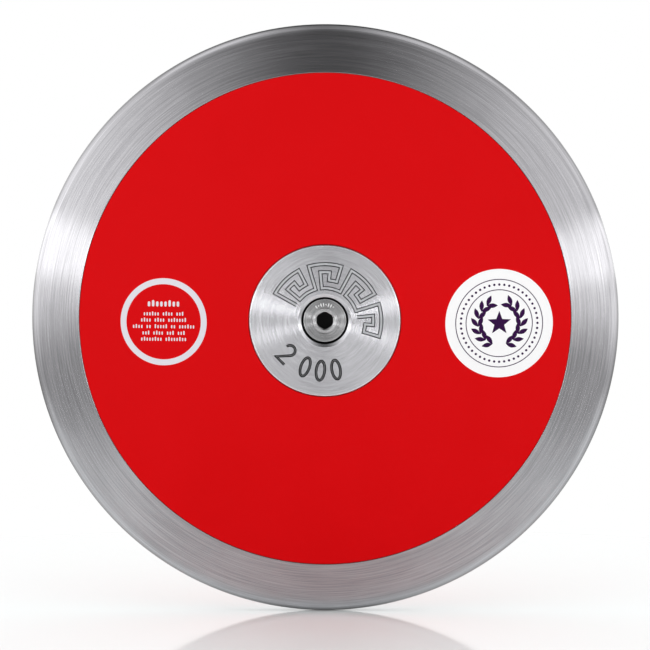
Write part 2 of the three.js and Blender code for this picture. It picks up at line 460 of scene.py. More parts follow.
def make_edge_band():
    """One on a circle of the given radius, fading smoothly to zero a half width away from it."""
    tree, start, end = open_group(
        "edge_band", {"Position": "Vector", "Radius": "Float", "Half Width": "Float"}, "Mask"
    )
    radius = flattened(tree, start["Position"], ACROSS_THE_AXIS)[1]
    away = math_node(tree, "ABSOLUTE", math_node(tree, "SUBTRACT", radius, start["Radius"]))
    away = math_node(tree, "DIVIDE", away, start["Half Width"])
    tree.links.new(ramp(tree, away, BAND_CORE, 1.0, 1.0, 0.0), end["Mask"])
    return tree


EDGE_BAND = make_edge_band()
print("nodes in the band:", len(EDGE_BAND.nodes))

# %% [markdown]
# ## Starting a material
# Every finish starts from the Principled BSDF and the object's own coordinates, which stay put when the
# piece is moved or exported. A value that is the same all over goes straight on to the shader's socket,
# and a link is kept for what changes over the surface.

# %% Starting a material


def new_material(name):
    """A new material with its node tree, its shader and the object's coordinates."""
    material = bpy.data.materials.new(name)
    material.use_nodes = True
    tree = material.node_tree
    place = add_node(tree, "ShaderNodeTexCoord").outputs["Object"]
    return material, tree, tree.nodes["Principled BSDF"], place


def connect(tree, shader, inputs):
    """Sets the shader's own sockets: constants directly, patterns by a link."""
    for key, value in inputs.items():
        if isinstance(value, bpy.types.NodeSocket):
            tree.links.new(value, shader.inputs[key])
        else:
            shader.inputs[key].default_value = value


def mixed(tree, mask, first, second):
    """A colour that runs from the first to the second with the mask.

    The Mix node has sockets of the same name for every kind of data, so its colours go by number.
    """
    made = add_node(tree, "ShaderNodeMix", {"Factor": mask}, data_type="RGBA")
    made.inputs[6].default_value = (*first, 1)
    made.inputs[7].default_value = (*second, 1)
    return made.outputs[2]


def bumped(tree, height, strength, depth):
    """A normal that leans as the height rises and falls."""
    inputs = {"Height": height, "Strength": strength, "Distance": depth}
    return add_node(tree, "ShaderNodeBump", inputs).outputs["Normal"]


# %% [markdown]
# ## Turned metal
# The rim, the centre plates and the bolt all get the same recipe with their own values. Grooves that run
# in circles smear a reflection across themselves, so each patch of metal shows a narrow slice of the room
# that turns with the angle, and the face breaks into bright and dark wedges. The shader's anisotropy does
# that, with a tangent that runs round the axis. Painted wedges would fit one view only, because real ones
# shift when the disc or the camera moves. The grain also moves the tone and the roughness a little, which
# is what the eye reads as brushed.

# %% Turned metal
GRAIN_SHARE = 0.8
PATCH_SHARE = 0.2
METAL_PATCH_SCALE = 28
TONE_STRETCH = (-1.7, 2.7)
GRAIN_RELIEF = 0.02 * MM
QUARTER_TURN = 0.25


def turned_metal(name, dark, light, roughness, lines, wander, relief, edges):
    """Brushed metal with painted bands of highlight and shade, each a radius, a half width and the gain
    of its tone there.

    The grain has as many lines to the metre as asked, and wander is how much it changes once round.
    Noise stays close to its middle value, so the tone is stretched to reach both colours.
    """
    material, tree, shader, place = new_material(name)
    grain = use_group(
        tree, CIRCULAR_GRAIN, {"Position": place, "Lines": lines, "Wander": wander}
    )
    patches = use_group(tree, SOFT_PATCHES, {"Position": place, "Scale": METAL_PATCH_SCALE})
    patches = math_node(tree, "MULTIPLY", patches, PATCH_SHARE)
    tone = math_node(tree, "MULTIPLY_ADD", grain, GRAIN_SHARE, patches)
    gain = 1.0
    # Each band scales the tone on its circle, to paint a highlight or shade there.
    for radius, half_width, band_gain in edges:
        band_mask = use_group(
            tree, EDGE_BAND, {"Position": place, "Radius": radius, "Half Width": half_width}
        )
        gain = math_node(tree, "MULTIPLY", scaled(tree, band_mask, 1.0, band_gain), gain)
    brushed = mixed(tree, scaled(tree, tone, *TONE_STRETCH), dark, light)
    colour = add_node(
        tree, "ShaderNodeVectorMath", {0: brushed, "Scale": gain}, operation="SCALE"
    ).outputs["Vector"]
    around = add_node(tree, "ShaderNodeTangent", direction_type="RADIAL", axis="Y")
    connect(
        tree,
        shader,
        {
            "Base Color": colour,
            "Metallic": 1.0,
            "Roughness": scaled(tree, tone, *roughness),
            "Anisotropic": 1.0,
            "Anisotropic Rotation": QUARTER_TURN,
            "Tangent": around.outputs[0],
            "Normal": bumped(tree, grain, relief, GRAIN_RELIEF),
        },
    )
    return material


# %% [markdown]
# ## Three metals
# The rim is steel, the centre plates are a paler aluminium, and the bolt is darker and more coarsely
# turned. Each piece has its own painted bands. The rim has a painted highlight just inside its edge and
# painted shade on the edge itself. A centre plate has a painted highlight along its outer edge and round
# its bore. The bolt's head has painted highlights at its edge and at the socket's mouth, with painted
# shade between.

# %% Three metals
HEAD_RADIUS = reach("centre_bolt", X)
HEAD_GAP = 0.45 * MM
BORE_RADIUS = HEAD_RADIUS + HEAD_GAP
SOCKET_MOUTH = 3.7 * MM
# Each band is painted light on the metal: a gain above one paints a highlight, one below one paints
# shade.
RIM_PAINTED_BANDS = [
    (OUTER_RADIUS - 2.1 * MM, 1.1 * MM, 1.22),
    (OUTER_RADIUS, 1.1 * MM, 0.40),
    (OUTER_RADIUS - 2 * MM, 12 * MM, 1.08),
]
PLATE_PAINTED_BANDS = [
    (CENTRE_RADIUS - 0.2 * MM, 0.6 * MM, 1.5),
    (BORE_RADIUS + 0.5 * MM, 1.2 * MM, 1.4),
]
HEAD_PAINTED_BANDS = [
    (HEAD_RADIUS - 0.4 * MM, 0.4 * MM, 1.4),
    (HEAD_RADIUS - 1.5 * MM, 2.6 * MM, 0.80),
    (SOCKET_MOUTH, 1.2 * MM, 1.25),
]
rim_metal = turned_metal(
    "brushed_rim", dark=(0.318, 0.314, 0.328), light=(0.472, 0.466, 0.485), roughness=(0.15, 0.17),
    lines=3200, wander=4, relief=0.3, edges=RIM_PAINTED_BANDS,
)
plate_metal = turned_metal(
    "brushed_centre", dark=(0.372, 0.371, 0.389), light=(0.462, 0.461, 0.480), roughness=(0.18, 0.21),
    lines=2600, wander=3, relief=0.45, edges=PLATE_PAINTED_BANDS,
)
bolt_metal = turned_metal(
    "turned_bolt", dark=(0.235, 0.235, 0.24), light=(0.345, 0.345, 0.35), roughness=(0.18, 0.21),
    lines=1900, wander=0.6, relief=0.3, edges=HEAD_PAINTED_BANDS,
)
print("metals:", rim_metal.name, plate_metal.name, bolt_metal.name)

# %% [markdown]
# ## Plastic, print, rubber and plating
# The side plates are through-coloured plastic out of a lightly textured mould: one even red, a satin
# gloss, and a skin of very fine pits. The same small recipe with other numbers makes the printed inks,
# the label's film, the rubber rings, the near black that paints shade into the socket and the bore, and
# the dull plated steel inside. The plastic's gloss is low, because a strong one would lay a grey veil
# over so deep a red.

# %% Plastic, print, rubber and plating
SKIN_PATCH_SCALE = 35
SKIN_RELIEF = 0.03 * MM


def skin(name, dark, light, roughness, gloss, pits, relief, metallic=0.0):
    """An even colour with soft patches, and a skin of fine pits, pits to the metre."""
    material, tree, shader, place = new_material(name)
    patches = use_group(tree, SOFT_PATCHES, {"Position": place, "Scale": SKIN_PATCH_SCALE})
    height = use_group(tree, FINE_PITS, {"Position": place, "Scale": pits})
    connect(
        tree,
        shader,
        {
            "Base Color": mixed(tree, patches, dark, light),
            "Metallic": metallic,
            "Roughness": scaled(tree, patches, *roughness),
            "Specular IOR Level": gloss,
            "Normal": bumped(tree, height, relief, SKIN_RELIEF),
        },
    )
    return material


red_plastic = skin(
    "moulded_red", dark=(0.650, 0.0018, 0.0032), light=(0.690, 0.0024, 0.0048),
    roughness=(0.42, 0.54), gloss=0.03, pits=2600, relief=0.30,
)
white_ink = skin(
    "white_print", dark=(0.71, 0.69, 0.74), light=(0.76, 0.74, 0.79),
    roughness=(0.45, 0.60), gloss=0.2, pits=3500, relief=0.25,
)
white_film = skin(
    "label_film", dark=(0.93, 0.93, 0.935), light=(0.95, 0.95, 0.955),
    roughness=(0.30, 0.42), gloss=0.3, pits=1200, relief=0.10,
)
purple_ink = skin(
    "purple_print", dark=(0.026, 0.0030, 0.045), light=(0.034, 0.0045, 0.058),
    roughness=(0.40, 0.55), gloss=0.06, pits=3500, relief=0.25,
)
# Painted shade: a near black for the inside of the socket and the wall of the bore, which are deep
# recesses.
painted_recess_shade = skin(
    "painted_recess_shade_black", dark=(0.004, 0.004, 0.004), light=(0.008, 0.008, 0.008),
    roughness=(0.6, 0.8), gloss=0.2, pits=3000, relief=0.5,
)
rubber = skin(
    "black_rubber", dark=(0.010, 0.010, 0.011), light=(0.018, 0.018, 0.019),
    roughness=(0.7, 0.9), gloss=0.4, pits=3000, relief=0.6,
)
plating = skin(
    "dull_plating", dark=(0.36, 0.37, 0.38), light=(0.50, 0.51, 0.52),
    roughness=(0.35, 0.55), gloss=0.5, pits=1500, relief=0.2, metallic=1.0,
)

# %% [markdown]
# ## The inside of a groove
# The steep walls of an engraved line are nearly black, and its floor, which faces out, is lighter, in
# soft patches. The face's own direction tells the two apart, so no mask has to be painted. Three marks
# get three finishes: the border's broad floor stays bright, the numerals' narrow one is darker, and the
# small strokes on the bolt's head are pale and shine.

# %% The inside of a groove
WALL_PATCH_SCALE = 700
FLOOR_PATCH_RANGE = (0.7, 1.1)
WALL_FALL_OFF = 6


def groove_metal(name, walls, floor, roughness):
    """The colour runs from the walls' to the floor's with a high power of how far a face looks out."""
    material, tree, shader, place = new_material(name)
    normal = add_node(tree, "ShaderNodeTexCoord").outputs["Normal"]
    outward = math_node(tree, "ABSOLUTE", parted(tree, normal)["Y"])
    wall_patches = use_group(tree, SOFT_PATCHES, {"Position": place, "Scale": WALL_PATCH_SCALE})
    floor_patches = scaled(tree, wall_patches, *FLOOR_PATCH_RANGE)
    floor_mask = math_node(tree, "MULTIPLY", math_node(tree, "POWER", outward, WALL_FALL_OFF), floor_patches)
    connect(
        tree,
        shader,
        {
            "Base Color": mixed(tree, floor_mask, walls, floor),
            "Metallic": 1.0,
            "Roughness": scaled(tree, floor_mask, *roughness),
        },
    )
    return material


GROOVE_WALL_COLOUR = (0.012, 0.012, 0.014)
mark_metal = groove_metal("engraved_border", GROOVE_WALL_COLOUR, floor=(0.45, 0.46, 0.475), roughness=(0.6, 0.32))
stamp_metal = groove_metal("stamped_numerals", GROOVE_WALL_COLOUR, floor=(0.20, 0.203, 0.21), roughness=(0.6, 0.40))
tally_metal = groove_metal(
    "punched_tallies", walls=(0.22, 0.22, 0.225), floor=(0.97, 0.97, 0.97), roughness=(0.6, 0.55)
)
print("materials:", len(bpy.data.materials))

# %% [markdown]
# ## The rim
# The rim is the heavy part: a steel ring turned from one blank, with two tapering faces that run into a
# round edge. The edge is an arc that both faces touch, so the light runs over it without a kink. Inside,
# a web steps in below the side plates and carries them.

# %% The rim
EDGE_RADIUS = 6.25 * MM
EDGE_STEPS = 48
WEB_DEPTH = 7 * MM
WEB_HALF_THICKNESS = 5 * MM
TURNED_CORNER = 0.12 * MM
RIM_SEGMENTS = 360


def rim_outline():
    """Face, round edge, face and web. The arc runs from where one face touches it to the other.

    Each corner is a radius, a height and the radius of its own rounding.
    """
    sweep = math.pi / 2 - TAPER
    turn = np.linspace(sweep, -sweep, EDGE_STEPS + 1)
    edge = np.stack([np.cos(turn), np.sin(turn)], axis=1) * EDGE_RADIUS
    edge += (OUTER_RADIUS - EDGE_RADIUS, 0)
    bore = JOINT_RADIUS - WEB_DEPTH
    corners = [
        (bore, -WEB_HALF_THICKNESS, TURNED_CORNER),
        (bore, WEB_HALF_THICKNESS, TURNED_CORNER),
        (JOINT_RADIUS, WEB_HALF_THICKNESS, 0),
        (JOINT_RADIUS, JOINT_HEIGHT, TURNED_CORNER),
        *[(radius, height, 0) for radius, height in edge],
        (JOINT_RADIUS, -JOINT_HEIGHT, TURNED_CORNER),
        (JOINT_RADIUS, -WEB_HALF_THICKNESS, 0),
    ]
    corners = np.array(corners)
    return supported(rounded(corners[:, :2], corners[:, 2]))


make_piece(
    "rim_ring", [turned(rim_outline(), REAR, RIM_SEGMENTS)], [rim_metal], ["rim"]
)

# %% [markdown]
# ## The shell of a side plate
# A side plate is a moulded shell, about three millimetres thick. Its outside is one plain cone. Its hub
# has a floor that the centre plate sits on, and a spigot at its foot drops into the rim's bore.

# %% The shell of a side plate
SPIGOT_BOTTOM = abs(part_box("rear_side_plate")[0][Y])
FLOOR_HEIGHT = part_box("core_tube")[1][Y]
SEAL_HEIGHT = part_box("rear_rim_seal")[1][Y]
PLATE_WALL = 3.2 * MM
CENTRE_THICKNESS = 6 * MM
HUB_SPIGOT_RADIUS = 14 * MM
SPIGOT_WALL = 2.5 * MM
MOULDED_CORNER = 0.2 * MM

spigot_outer = JOINT_RADIUS - WEB_DEPTH - SEAM
spigot_inner = spigot_outer - SPIGOT_WALL


def inside_height(radius):
    """The shell's inner face: the outer one, moved in by the wall square to the cone."""
    return face_height(radius) - PLATE_WALL / math.cos(TAPER)


def shell_outline():
    """The cone's edge, the cone, the recess with its hole, the cone's inside and the spigot."""
    recess = CENTRE_RADIUS + SEAM
    wall = recess + PLATE_WALL
    hole = HUB_SPIGOT_RADIUS + SEAM
    seat = FACE_HEIGHT - CENTRE_THICKNESS
    edge = JOINT_RADIUS - SEAM
    corners = [
        (edge, SEAL_HEIGHT),
        (edge, face_height(edge)),
        (recess, face_height(recess)),
        (recess, seat),
        (hole, seat),
        (hole, FLOOR_HEIGHT),
        (wall, FLOOR_HEIGHT),
        (wall, inside_height(wall)),
        (spigot_inner, inside_height(spigot_inner)),
        (spigot_inner, SPIGOT_BOTTOM),
        (spigot_outer, SPIGOT_BOTTOM),
        (spigot_outer, SEAL_HEIGHT),
    ]
    return supported(rounded(corners, MOULDED_CORNER))


print("points round the shell:", len(shell_outline()))

# %% [markdown]
# ## Cup, hoop and ribs
# Inside, the shell has a cup round the weights, twelve arched ribs and a hoop, which keep the cone from
# drumming when the disc lands. Nobody sees them in the closed disc, but they are part of the piece. Cup
# and hoop are turned like the shell. A rib is a section carried along the radius, since a plain box
# would not follow the arch or the cone.

# %% Cup, hoop and ribs
WEIGHTS_RADIUS = reach("trim_weight_1", X)
WEIGHTS_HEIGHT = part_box("rear_cushion")[0][Y]
CUP_CLEARANCE = 1 * MM
CUP_WALL = 2.2 * MM
CUP_OVERLAP = 0.5 * MM
HOOP_RADIUS = 54 * MM
RIB_THICKNESS = 2 * MM
RIB_ARCH = 3.6 * MM
RIB_STATIONS = 32
RIB_SECTION = [(-1, 0), (1, 0), (1, 1), (-1, 1)]
RIB_SECTION_ROUNDS = [0.3, 0.3, 0, 0]
RIB_CORNER = 0.3 * MM
JOIN_DEPTH = 0.8 * MM

cup_inner = WEIGHTS_RADIUS + CUP_CLEARANCE
cup_outer = cup_inner + CUP_WALL
cup_mouth = WEIGHTS_HEIGHT - CUP_OVERLAP


def rib_height(radius):
    """The ribs' free edge: a straight line from the cup's mouth to the foot, plus a parabola."""
    share = np.clip((radius - cup_outer) / (spigot_inner - cup_outer), 0, 1)
    chord = cup_mouth + share * (SEAL_HEIGHT - cup_mouth)
    return chord + 4 * RIB_ARCH * share * (1 - share)


def upright_ring(inner, outer, low, high):
    """The outline of a plain ring that stands up inside the shell."""
    corners = [(inner, low), (outer, low), (outer, high), (inner, high)]
    return supported(rounded(corners, RIB_CORNER))


def closed_ends(rows):
    """The rows with one more at each end, shrunk to the middle of its neighbour, which closes them."""
    first = np.repeat(rows[:1].mean(axis=1, keepdims=True), rows.shape[1], axis=1)
    last = np.repeat(rows[-1:].mean(axis=1, keepdims=True), rows.shape[1], axis=1)
    return np.concatenate([first, rows, last])


def rib(turn, side):
    """A rounded section carried outwards along the radius.

    At each radius the section runs from the rib's free edge up into the shell, half the thickness to
    either side. Its height goes with the square of the section's own, which keeps the rounding of the
    free edge short.
    """
    radius = np.linspace(cup_outer - CUP_WALL / 2, spigot_inner + SPIGOT_WALL / 2, RIB_STATIONS)
    low, high = rib_height(radius), inside_height(radius) + JOIN_DEPTH
    section = rounded(RIB_SECTION, RIB_SECTION_ROUNDS)
    across = np.tile(section[:, 0] * RIB_THICKNESS / 2, (RIB_STATIONS, 1))
    height = low[:, None] + (high - low)[:, None] * section[:, 1] ** 2
    along = np.tile(radius[:, None], (1, len(section)))
    local = closed_ends(np.stack([along, side * height, across], axis=-1))
    x, y, z = np.moveaxis(local, -1, 0)
    return np.stack(
        [x * math.cos(turn) + z * math.sin(turn), y, z * math.cos(turn) - x * math.sin(turn)], axis=-1
    )


print("rib's free edge at the hoop, in millimetres:", round(rib_height(HOOP_RADIUS) / MM, 2))

# %% [markdown]
# ## Both side plates
# The front and the rear plate come out of the same mould. The parts overlap by a little inside the wall,
# so they read as one moulding, and the outside stays an unbroken cone.

# %% Both side plates
RIB_COUNT = 12
INNER_SEGMENTS = 144


def side_plate(name, side, node):
    """Shell, cup, hoop and ribs of one side as one piece."""
    half = RIB_THICKNESS / 2
    cup = upright_ring(cup_inner, cup_outer, cup_mouth, FLOOR_HEIGHT + JOIN_DEPTH)
    hoop = upright_ring(
        HOOP_RADIUS - half,
        HOOP_RADIUS + half,
        rib_height(HOOP_RADIUS),
        inside_height(HOOP_RADIUS) + JOIN_DEPTH,
    )
    surfaces = [turned(shell_outline(), side)]
    surfaces += [turned(outline, side, INNER_SEGMENTS) for outline in (cup, hoop)]
    surfaces += [rib(turn, side) for turn in np.arange(RIB_COUNT) * 2 * math.pi / RIB_COUNT]
    return make_piece(name, surfaces, [red_plastic], [node])


side_plate("front_plate_shell", FRONT, "front_side_plate")
side_plate("rear_plate_shell", REAR, "rear_side_plate")

# %% [markdown]
# ## The centre plates
# Each centre plate is a flat turned disc let flush into its side plate. Its bore opens with a wide
# chamfer that throws a bright ring round the bolt's head, a real reflection helped by a painted
# highlight, and its outer edge has a fine one. The bore's wall is painted near black as shade, so its
# rows of faces take the second material.

# %% The centre plates
BORE_CHAMFER = 1.1 * MM
BORE_CHAMFER_DEPTH = 0.45 * MM
EDGE_CHAMFER = 0.35 * MM
BORE_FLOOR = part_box("rear_lock_washer")[0][Y]
SHOULDER_HOLE = 6.2 * MM
SPIGOT_CHAMFER = 0.5 * MM
CHAMFER_BREAK = 0.05 * MM
BREAK_STEPS = 3


def centre_outline():
    """The spigot, the seat, the outer edge with its chamfer, the face, and the bore with its floor."""
    corners = [
        (SHOULDER_HOLE, FLOOR_HEIGHT),
        (HUB_SPIGOT_RADIUS - SPIGOT_CHAMFER, FLOOR_HEIGHT),
        (HUB_SPIGOT_RADIUS, FLOOR_HEIGHT + SPIGOT_CHAMFER),
        (HUB_SPIGOT_RADIUS, FACE_HEIGHT - CENTRE_THICKNESS),
        (CENTRE_RADIUS, FACE_HEIGHT - CENTRE_THICKNESS),
        (CENTRE_RADIUS, FACE_HEIGHT - EDGE_CHAMFER),
        (CENTRE_RADIUS - EDGE_CHAMFER, FACE_HEIGHT),
        (BORE_RADIUS + BORE_CHAMFER, FACE_HEIGHT),
        (BORE_RADIUS, FACE_HEIGHT - BORE_CHAMFER_DEPTH),
        (BORE_RADIUS, BORE_FLOOR),
        (SHOULDER_HOLE, BORE_FLOOR),
    ]
    return supported(rounded(corners, CHAMFER_BREAK, BREAK_STEPS))


def bore_rows(outline):
    """The rows of the bore's wall, below the chamfer."""
    radius, height = outline.T
    in_bore = (radius < BORE_RADIUS + CHAMFER_BREAK) & (height > BORE_FLOOR - CHAMFER_BREAK)
    return np.flatnonzero(in_bore & (height < FACE_HEIGHT - BORE_CHAMFER_DEPTH - CHAMFER_BREAK))


def centre_plate(name, side, node):
    outline = centre_outline()
    return make_piece(
        name,
        [turned(outline, side)],
        # The bore's wall gets painted shade.
        [plate_metal, painted_recess_shade],
        [node],
        bore_rows(outline),
    )


centre_plate("rear_centre_disc", REAR, "rear_centre_plate")
front_centre = centre_plate("front_centre_disc", FRONT, "front_centre_plate")

# %% [markdown]
# ## Strokes to engrave with
# The front centre plate is engraved with a graver and with hand punches. Each line is a shallow groove
# with leaning walls, so a stroke is made as a solid bar along its path and cut out of the plate. That
# gives real walls that catch the light, where a painted line would stay flat.

# %% Strokes
WALL_RUN = 0.36 * MM
MOST_WIDENING = 2


def stroke(path, width, depth, closed=False, face=FACE_HEIGHT, wall_run=WALL_RUN):
    """A flat-bottomed bar carried along a path on a front face, to be cut out as a groove.

    Each section stands square to the bisector of its corner and is widened by one over the cosine of
    half the turn, so the stroke keeps its width round corners. Its walls lean in towards the bottom, and
    its top stands a little proud of the face.
    """
    path = np.asarray(path, float)
    ahead = np.roll(path, -1, axis=0) - path
    if not closed:
        ahead[-1] = ahead[-2]
    ahead /= np.linalg.norm(ahead, axis=1, keepdims=True)
    before = np.roll(ahead, 1, axis=0)
    if not closed:
        before[0] = ahead[0]
    along = ahead + before
    along /= np.linalg.norm(along, axis=1, keepdims=True)
    widen = 1 / np.clip((along * ahead).sum(axis=1), 1 / MOST_WIDENING, 1)
    across = np.stack([along[:, 1], -along[:, 0]], axis=1) * widen[:, None]
    proud = depth / 2
    half = width / 2
    foot = half - wall_run
    section = [(-half, proud), (half, proud), (half, 0), (foot, -depth), (-foot, -depth), (-half, 0)]
    section = np.array(section)
    flat = path[:, None] + across[:, None] * section[None, :, :1]
    height = np.broadcast_to(face + section[:, 1], flat.shape[:2])
    points = np.stack([flat[..., 0], -height, flat[..., 1]], axis=-1)
    return points if closed else closed_ends(points)


print("walls of a stroke run in by, in millimetres:", round(WALL_RUN / MM, 2))

# %% [markdown]
# ## The key border
# A plain border of a running key fills the upper arc of the plate. It is drawn on a square grid, where
# its turns are easy to follow, and then bent round the bore. Long stretches are divided first, because
# a stretch with points at its ends alone would cut across the arc.

# %% The key border
KEY_UNITS = 4
KEY_START = math.radians(151)
KEY_SPAN = math.radians(145)
KEY_INNER = 12.0 * MM
KEY_MODULE = 2.95 * MM
KEY_WIDTH = 1.5 * MM
KEY_DEPTH = 0.4 * MM
KEY_STEP = 0.5
KEY_UNIT = [(0, 0), (0, 3), (3, 3), (3, 1), (2, 1), (2, 2), (1, 2), (1, 0)]
KEY_UNIT_LENGTH = 4


def refined(path, step):
    """The path with every stretch divided into equal parts of about one step."""
    parts = []
    for start, end in zip(path[:-1], path[1:]):
        count = round(np.linalg.norm(end - start) / step)
        parts.append(start + (end - start) * np.arange(count)[:, None] / count)
    return np.concatenate([*parts, path[-1:]])


def key_border():
    """A running key bent round the bore.

    One unit goes up, across, down, back, up, back and down on a grid of modules. A module across turns
    the direction by an equal angle, and a module up adds its length to the radius.
    """
    units = [np.add(KEY_UNIT, (unit * KEY_UNIT_LENGTH, 0)) for unit in range(KEY_UNITS)]
    path = refined(np.concatenate(units), KEY_STEP)
    length = path[-1, 0]
    direction = KEY_START - path[:, 0] / length * KEY_SPAN
    radius = KEY_INNER + path[:, 1] * KEY_MODULE
    return np.stack([radius * np.cos(direction), radius * np.sin(direction)], axis=1)


print("points along the key:", len(key_border()))

# %% [markdown]
# ## The numerals
# Four numerals below the bore give the class in grams. Hand punches strike them one by one, so each leans
# by a few degrees and their spacing is not quite even. A font would be the usual way to write in Blender,
# but a drawn line makes a groove of one width, as a punch does.

# %% The numerals
STAMP_HEIGHT = 7.1 * MM
STAMP_RADIUS = 18.5 * MM
STAMP_WIDTH = 1.05 * MM
STAMP_DEPTH = 0.5 * MM
STAMP_WALL = 0.42 * MM
STAMPS = [("two", 221, 4), ("nought", 247, 3), ("nought", 265, -2), ("nought", 283, -3)]
HALF_HEIGHT = 0.5
NOUGHT_HALF_WIDTH = 0.22
NOUGHT_POINTS = 40
BOWL_RADIUS = 0.27
BOWL_MIDDLE = 0.23
BOWL_SWEEP = (175, -40)
BOWL_POINTS = 20
FOOT_ENDS = (-0.29, 0.31)


def glyph(name):
    """A numeral as a line in a box one high: an ellipse, or a bowl with a slope and a foot."""
    if name == "nought":
        turn = np.linspace(0, 2 * math.pi, NOUGHT_POINTS, endpoint=False)
        oval = [NOUGHT_HALF_WIDTH * np.cos(turn), HALF_HEIGHT * np.sin(turn)]
        return np.stack(oval, axis=1), True
    turn = np.radians(np.linspace(*BOWL_SWEEP, BOWL_POINTS))
    bowl = [BOWL_RADIUS * np.cos(turn), BOWL_MIDDLE + BOWL_RADIUS * np.sin(turn)]
    foot = [(end, -HALF_HEIGHT) for end in FOOT_ENDS]
    return np.concatenate([np.stack(bowl, axis=1), foot]), False


def stamped(name, degrees, tilt):
    """A numeral whose head points at the hub, turned by a small tilt as a hand punch is."""
    line, closed = glyph(name)
    place = math.radians(degrees)
    up = place + math.pi + math.radians(tilt)
    upward = np.array([math.cos(up), math.sin(up)])
    rightward = np.array([upward[1], -upward[0]])
    centre = np.array([math.cos(place), math.sin(place)]) * STAMP_RADIUS
    path = centre + STAMP_HEIGHT * (line[:, :1] * rightward + line[:, 1:] * upward)
    return stroke(path, STAMP_WIDTH, STAMP_DEPTH, closed, wall_run=STAMP_WALL)


print("numerals:", len(STAMPS))

# %% [markdown]
# ## Engraving
# A Boolean modifier cuts the strokes out of the plate. The exact solver is the slow one, but it leaves
# no cracks where a thin wall meets the flat face. The walls of the cut take the material of the tool,
# so the grooves need no mask. The result replaces the plate's mesh, and the tool goes.

# %% Engraving


def engrave(piece, surfaces, material):
    """Cuts the strokes out of the piece and leaves a plain mesh, with the walls in their own finish."""
    tool = add_object("engraving_tool", make_mesh("engraving_tool", surfaces))
    tool.data.materials.append(material)
    cut = piece.modifiers.new("engraving", "BOOLEAN")
    cut.operation = "DIFFERENCE"
    cut.solver = "EXACT"
    cut.object = tool
    cut.material_mode = "TRANSFER"
    graph = bpy.context.evaluated_depsgraph_get()
    result = bpy.data.meshes.new_from_object(piece.evaluated_get(graph))
    piece.modifiers.clear()
    piece.data = result
    smooth(piece.data)
    bpy.data.objects.remove(tool)
    print(piece.name, "engraved, faces:", len(piece.data.polygons))


engrave(front_centre, [stroke(key_border(), KEY_WIDTH, KEY_DEPTH)], mark_metal)
engrave(front_centre, [stamped(*stamp) for stamp in STAMPS], stamp_metal)

# %% [markdown]
# ## The face of a head
# The bolt and the sleeve nut have the same head: a low dome round a flat, with the rings that the lathe
# tool left. The rings are about a hundredth of a millimetre deep. They are modelled and not bumped,
# because each one bends the highlight that crosses it, and an outline carries them at little cost.

# %% The face of a head
HEAD_TOP = -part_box("centre_bolt")[0][Y]
HEAD_DOME = 0.02 * MM
HEAD_BEVEL = 0.4 * MM
HEAD_FLAT_RADIUS = 5.3 * MM
HEAD_FACE_POINTS = 110
TOOL_RINGS_START = 3.9 * MM
TOOL_RINGS_END = 6.3 * MM
TOOL_RING_DEPTH = 0.012 * MM
TOOL_RING_PITCH = 0.48 * MM
NOTCH_RADIUS = 4.75 * MM
NOTCH_DEPTH = 0.07 * MM
NOTCH_WIDTH = 0.13 * MM


def head_face():
    """From the flat round the socket out to the bevel, with tool rings and one deeper notch.

    The dome is a quarter sine, the rings are a cosine of the radius and the notch is a bell curve.
    """
    edge = HEAD_RADIUS - HEAD_BEVEL
    radius = np.linspace(TOOL_RINGS_START, edge, HEAD_FACE_POINTS)
    share = np.clip((edge - radius) / (edge - HEAD_FLAT_RADIUS), 0, 1)
    height = HEAD_TOP - HEAD_DOME * (1 - np.sin(math.pi / 2 * share))
    rings = 0.5 - 0.5 * np.cos((radius - TOOL_RINGS_START) / TOOL_RING_PITCH * 2 * math.pi)
    height -= TOOL_RING_DEPTH * rings * (radius < TOOL_RINGS_END)
    height -= NOTCH_DEPTH * np.exp(-(((radius - NOTCH_RADIUS) / NOTCH_WIDTH) ** 2))
    return np.stack([radius, height], axis=1)


print("head's face below the plate, in millimetres:", round((FACE_HEIGHT - HEAD_TOP) / MM, 2))

# %% [markdown]
# ## The hexagon socket
# A drill starts the socket and leaves its tip at the bottom, and a broach gives it six flats. A Boolean
# cut with a hexagonal prism would do for the flats, but here the hexagon has to run smoothly into a round
# mouth. So the same grid goes on inwards, and its radius follows the hexagon: half the width across
# flats, divided by the cosine of the angle to the middle of the nearest flat. It is cut off at the
# corners, which a worn broach leaves blunt.

# %% The hexagon socket
HALF_FLATS = 3 * MM
SOCKET_CORNER = 3.14 * MM
SOCKET_DEPTH = 5 * MM
SOCKET_TIP = 0.9 * MM
SOCKET_BEVEL = 0.2 * MM
SOCKET_MARGIN = 0.1 * MM
MOUTH_ROWS = 7
HEAD_SEGMENTS = 192


def socket_surface(side):
    """The socket from the drilled tip out to its mouth, as rows of radius and height.

    The mouth is a quarter ellipse: it leaves the hexagon upright and meets the head's flat level.
    """
    turn = np.linspace(0, 2 * math.pi, HEAD_SEGMENTS, endpoint=False)
    to_flat = (turn % (math.pi / 3)) - math.pi / 6
    hexagon = np.minimum(HALF_FLATS / np.cos(to_flat), SOCKET_CORNER)
    mouth = HALF_FLATS / math.cos(math.pi / 6) + SOCKET_BEVEL
    floor = HEAD_TOP - SOCKET_DEPTH
    lip = HEAD_TOP - SOCKET_BEVEL
    rows = [
        (0, floor - SOCKET_TIP),
        (HALF_FLATS, floor),
        (hexagon, floor),
        (hexagon, floor + SOCKET_MARGIN),
        (hexagon, lip - SOCKET_MARGIN),
    ]
    for part in np.linspace(0, math.pi / 2, MOUTH_ROWS):
        outward = hexagon + (mouth - hexagon) * (1 - math.cos(part))
        rows.append((outward, lip + SOCKET_BEVEL * math.sin(part)))
    radius, height = (
        np.stack([np.broadcast_to(value, HEAD_SEGMENTS) for value in values]) for values in zip(*rows)
    )
    return np.stack([radius * np.sin(turn), side * height, radius * np.cos(turn)], axis=-1)


print("grid of the socket:", socket_surface(FRONT).shape)
